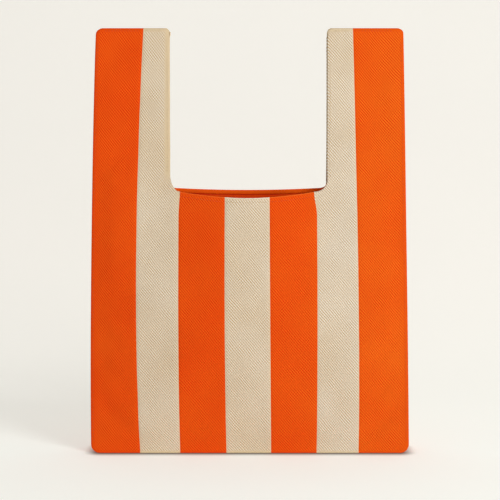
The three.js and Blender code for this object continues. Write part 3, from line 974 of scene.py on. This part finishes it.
def side_lining(side):
    """Lining behind the shoulder stripes and round the side wall, from front to back, as one cloth."""
    edge = EDGES[0 if side == LEFT else 7]
    inner = EDGES[2 if side == LEFT else 5]
    v = lines(9, SIDE_LINING_TOP, [0, 3], [0, 0.5, 1, 2.5])
    lift = smooth((v - 200) / (SIDE_LINING_TOP - 200))
    inset = CLOTH + 0.6
    shares = np.concatenate([[0, 0.02, 0.04, 0.06, 0.09], np.linspace(0.14, 0.9, 12), [0.94, 0.97, 1.0]])
    start = inner(v) - side * LAP
    rows = []
    for face in (FRONT, BACK):
        x = start[None, :] + shares[:, None] * (edge(v) - side * inset - start)[None, :]
        z = v + (side_lining_top(face, side, x) - SIDE_LINING_TOP) * lift
        depth = np.minimum(face_depth(face, x, z, False), plain_depth(x, z)) - inset
        depth -= LINING * (1 - smooth((side * (x - inner(z)) - 0.5) / 4))
        leg = np.stack([x, face * depth, z], axis=2)
        rows.append(leg if face == FRONT else leg[::-1])
    half = np.abs(rows[0][-1, :, 1])
    mid = []
    for share in (-0.6, -0.2, 0.2, 0.6):
        x = edge(v) - side * (inset + 6.0 * (1 - share ** 2) * smooth((v - 20) / 60))
        mid.append(np.stack([x, share * half, v], axis=1))
    points = np.concatenate([rows[0], np.array(mid), rows[1]], axis=0)
    made = slab(points, LINING, (0, 0, 0, 1), side)
    name = f"{SIDE_NAME[side]}_lining"
    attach(build(name, "orange_lining", [name], (*made, LINING_CLOTH)), "bag_body")


# ---------------------------------------------------------------- the bag

for face in (FRONT, BACK):
    drape[face] = simulate_face(face)


def follow_handle(piece):
    """Cloth at the foot of a handle: bakes its transform into its mesh."""
    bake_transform(piece)


def follow_centre(piece, face, number):
    """The middle stripe goes with its face's centre. The two beside it have their transform baked into their
    mesh.
    """
    centre = f"{FACE_NAME[face]}_centre"
    if number == 4:
        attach(piece, centre)
        return
    outer, inner = (EDGES[2], EDGES[3]) if number == 3 else (EDGES[5], EDGES[4])
    heights = np.linspace(0, NECK, 20)
    pick = (max, min) if number == 3 else (min, max)
    start, end = pick[0](outer(heights)), pick[1](inner(heights))
    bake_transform(piece)


for face in (FRONT, BACK):
    for number in (3, 4, 5):
        for make in (centre_stripe, lining_panel, rim_facing):
            follow_centre(make(face, number), face, number)
    for number in (1, 2, 6, 7):
        follow_handle(shoulder_stripe(face, number))

for side in (LEFT, RIGHT):
    for face in (FRONT, BACK):
        follow_handle(armpit_facing(face, side))
    follow_handle(side_wall(side))
    side_lining(side)

tray("base_panel", 0, 0, FOOT_CORNER, 1.8, ORANGE, "orange_twill", lambda z: side_half(z) - roll_radius(z))
tray("lining_floor", LINING_INSET, cad_box("lining_floor")[0][2], 8, LINING, LINING_CLOTH, "orange_lining",
     lambda z: side_half(z) - LINING_INSET - 0.5)

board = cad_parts["base_board"]
board.data.materials.clear()
board.data.materials.append(BOARD)


# ---------------------------------------------------------------- studio

def backdrop():
    """A pale sweep: floor, a wide curve, and a wall, with a painted contact shadow round the bag's foot."""
    width, front, back, radius, top = 14.0, -7.0, 2.2, 1.8, 7.0
    profile = [(front, 0.0), (back - radius, 0.0)]
    for step in range(1, 25):
        angle = step / 24 * math.pi / 2
        profile.append((back - radius + radius * math.sin(angle), radius * (1 - math.cos(angle))))
    profile.append((back, top))
    vertices = [(x, y, z) for y, z in profile for x in (-width / 2, width / 2)]
    faces = [(2 * i, 2 * i + 1, 2 * i + 3, 2 * i + 2) for i in range(len(profile) - 1)]
    mesh = bpy.data.meshes.new("backdrop")
    mesh.from_pydata(vertices, [], faces)
    mesh.polygons.foreach_set("use_smooth", [True] * len(faces))
    sweep = bpy.data.objects.new("backdrop", mesh)
    bpy.context.scene.collection.objects.link(sweep)
    n = Nodes("backdrop_paper")
    where = n.position()
    far = n.ramp(n.split(where)[1], -0.3, 1.4)
    paper = n.mix(far, (0.6, 0.639, 0.616, 1), (0.723, 0.709, 0.672, 1))
    grain = n.scaled(n.noise(where, 3.0, 3.0), 0.04, 0.98)
    paper = n.sized(paper, grain)
    size = n.vector("ABSOLUTE", n.vector("MULTIPLY", where, (1, 1, 0)))
    # painted contact shadow: near the bag's footprint the paper turns dark and stops glowing
    foot = (HALF_WIDTH * MM - 0.013, FOOT_HALF * MM - 0.004, 0)
    beyond = n.vector("MAXIMUM", n.vector("SUBTRACT", size, foot))
    clear_of_painted_shadow = n.ramp(n.vector("LENGTH", beyond, output=1), 0.0, 0.026)
    unseen = n.scaled(n.node("ShaderNodeLightPath"), -1, 1)    # the painted contact shadow is for the camera only
    clear_of_painted_shadow = n.math("MAXIMUM", clear_of_painted_shadow, unseen)
    n.put(n.shader.inputs["Base Color"], n.mix(clear_of_painted_shadow, (0.12, 0.08, 0.05, 1), paper))
    n.put(n.shader.inputs["Roughness"], 0.95)
    n.put(n.shader.inputs["Specular IOR Level"], 0.0)
    n.put(n.shader.inputs["Emission Color"], (0.905, 0.88, 0.825, 1))
    glow = n.math("MULTIPLY", n.scaled(far, -0.03, 0.5), clear_of_painted_shadow)
    n.put(n.shader.inputs["Emission Strength"], glow)
    mesh.materials.append(n.material)


def area_light(name, location, target, size, energy, colour):
    data = bpy.data.lights.new(name, "AREA")
    data.shape = "DISK"
    data.size, data.energy, data.color = size, energy, colour
    lamp = bpy.data.objects.new(name, data)
    lamp.location = location
    lamp.rotation_mode = "QUATERNION"
    lamp.rotation_quaternion = (Vector(target) - Vector(location)).to_track_quat("-Z", "Y")
    bpy.context.scene.collection.objects.link(lamp)


backdrop()
area_light("key", (1.6, -2.1, 1.75), (0.05, 0, 0.25), 1.15, 45, (0.99, 1.0, 0.99))
area_light("fill", (0.8, -2.7, 0.3), (0, 0, 0.2), 1.9, 11, (1, 0.98, 0.95))
world = bpy.data.worlds.new("studio")
world.use_nodes = True
world.node_tree.nodes["Background"].inputs[0].default_value = (1.0, 0.98, 0.95, 1)
world.node_tree.nodes["Background"].inputs[1].default_value = 0.31
bpy.context.scene.world = world
bpy.context.scene.view_settings.view_transform = "Standard"

DISTANCE = 1.7
ELEVATION = math.radians(3)
AIM = Vector((0, 0, 0.2571))
camera = bpy.data.objects.new("camera", bpy.data.cameras.new("camera"))
camera.data.lens = 95.9
camera.data.sensor_width = 36
camera.location = AIM + Vector((0, -math.cos(ELEVATION), math.sin(ELEVATION))) * DISTANCE
camera.rotation_mode = "QUATERNION"
camera.rotation_quaternion = (AIM - camera.location).to_track_quat("-Z", "Y")
bpy.context.scene.collection.objects.link(camera)
bpy.context.scene.camera = camera
